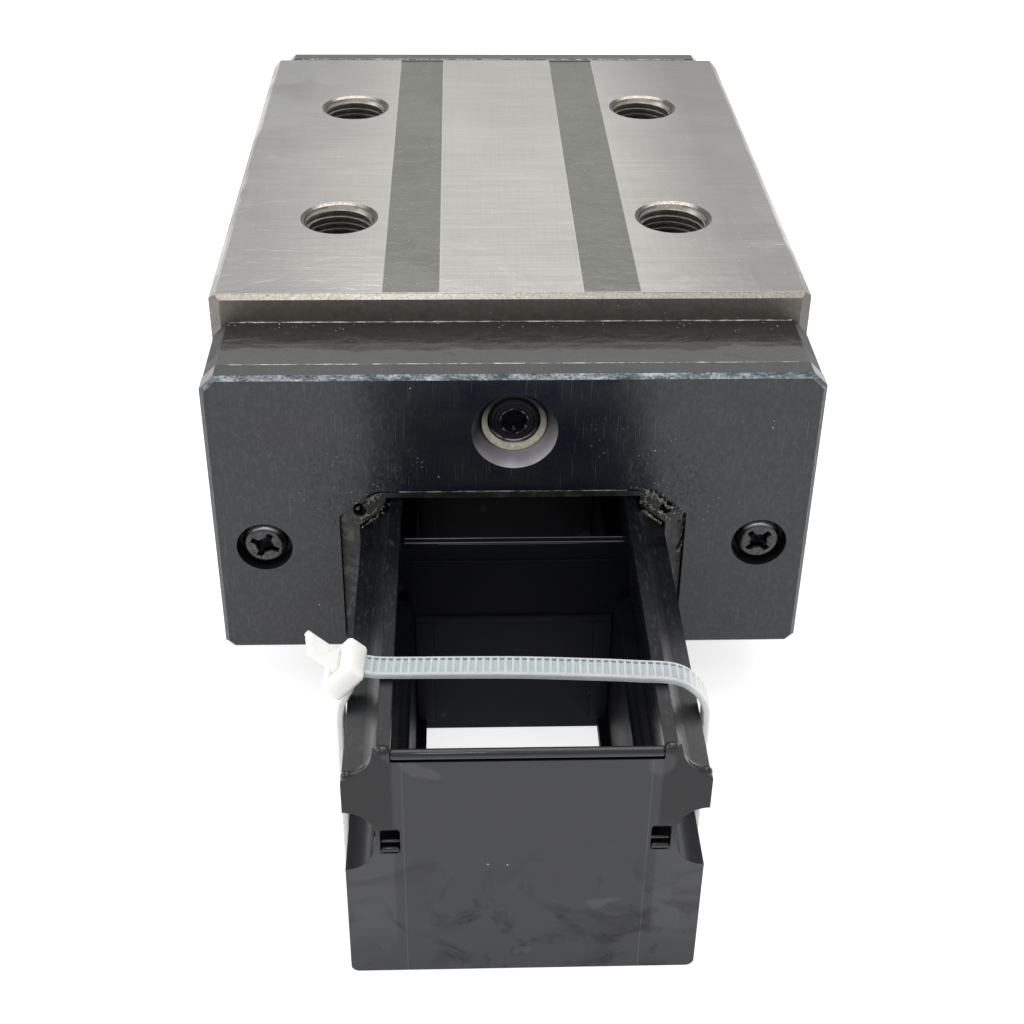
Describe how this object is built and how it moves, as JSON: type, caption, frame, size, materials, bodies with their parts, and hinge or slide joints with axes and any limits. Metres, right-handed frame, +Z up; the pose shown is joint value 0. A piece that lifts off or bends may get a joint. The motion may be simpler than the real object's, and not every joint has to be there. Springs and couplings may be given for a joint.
{
  "type": "linear guide carriage",
  "caption": "Square ball guide carriage on a black moulded shipping rail, held by a white cable tie; tapped top face, end caps with seals, grease port and cross recess screws.",
  "frame": {"origin": "middle of the dummy rail's base, under the middle of the carriage", "axes": "+Y along the rail, the end with the cable tie towards -Y; +X to the right seen from that end; +Z up, out of the carriage's mounting face"},
  "size_m": [0.126, 0.3402, 0.09],
  "materials": {
    "ground_steel": "ground, lengthwise and crosswise grinding marks",
    "cap_plastic": "moulded, oily",
    "plate_black": "satin, oily",
    "seal_rubber": "satin",
    "screw_black": "black oxide, oily",
    "bush_steel": "turned",
    "ring_cream": "satin",
    "guide_plastic": "moulded",
    "wire_steel": "drawn",
    "ball_steel": "polished",
    "rail_plastic": "moulded, oily",
    "tie_nylon": "translucent natural nylon"
  },
  "bodies": {
    "rail": {"dummy_rail": "rail_plastic", "cable_tie": "tie_nylon"},
    "carriage": {"ball_circuit_lower_left": "ball_steel", "ball_circuit_lower_right": "ball_steel", "ball_circuit_upper_left": "ball_steel", "ball_circuit_upper_right": "ball_steel", "ball_retainer_left": "guide_plastic", "ball_retainer_right": "guide_plastic", "bottom_seal_left": "seal_rubber", "bottom_seal_right": "seal_rubber", "end_cap_front": "cap_plastic", "end_cap_rear": "cap_plastic", "end_plate_front": "plate_black", "end_plate_rear": "plate_black", "end_screws_front": "screw_black", "end_screws_rear": "screw_black", "end_seal_front": "seal_rubber", "end_seal_rear": "seal_rubber", "grease_bush_front": "bush_steel", "grease_bush_rear": "bush_steel", "grease_plug_front": "screw_black", "grease_plug_rear": "screw_black", "grease_ring_front": "ring_cream", "grease_ring_rear": "ring_cream", "retaining_wire_left": "wire_steel", "retaining_wire_right": "wire_steel", "return_guides_front": "guide_plastic", "return_guides_rear": "guide_plastic", "slide_body": "ground_steel"}
  },
  "joints": [
    {"name": "carriage_slide", "type": "slide", "parent": "rail", "child": "carriage", "axis": [0, 1, 0], "range_m": [-0.047, 0.073]}
  ]
}
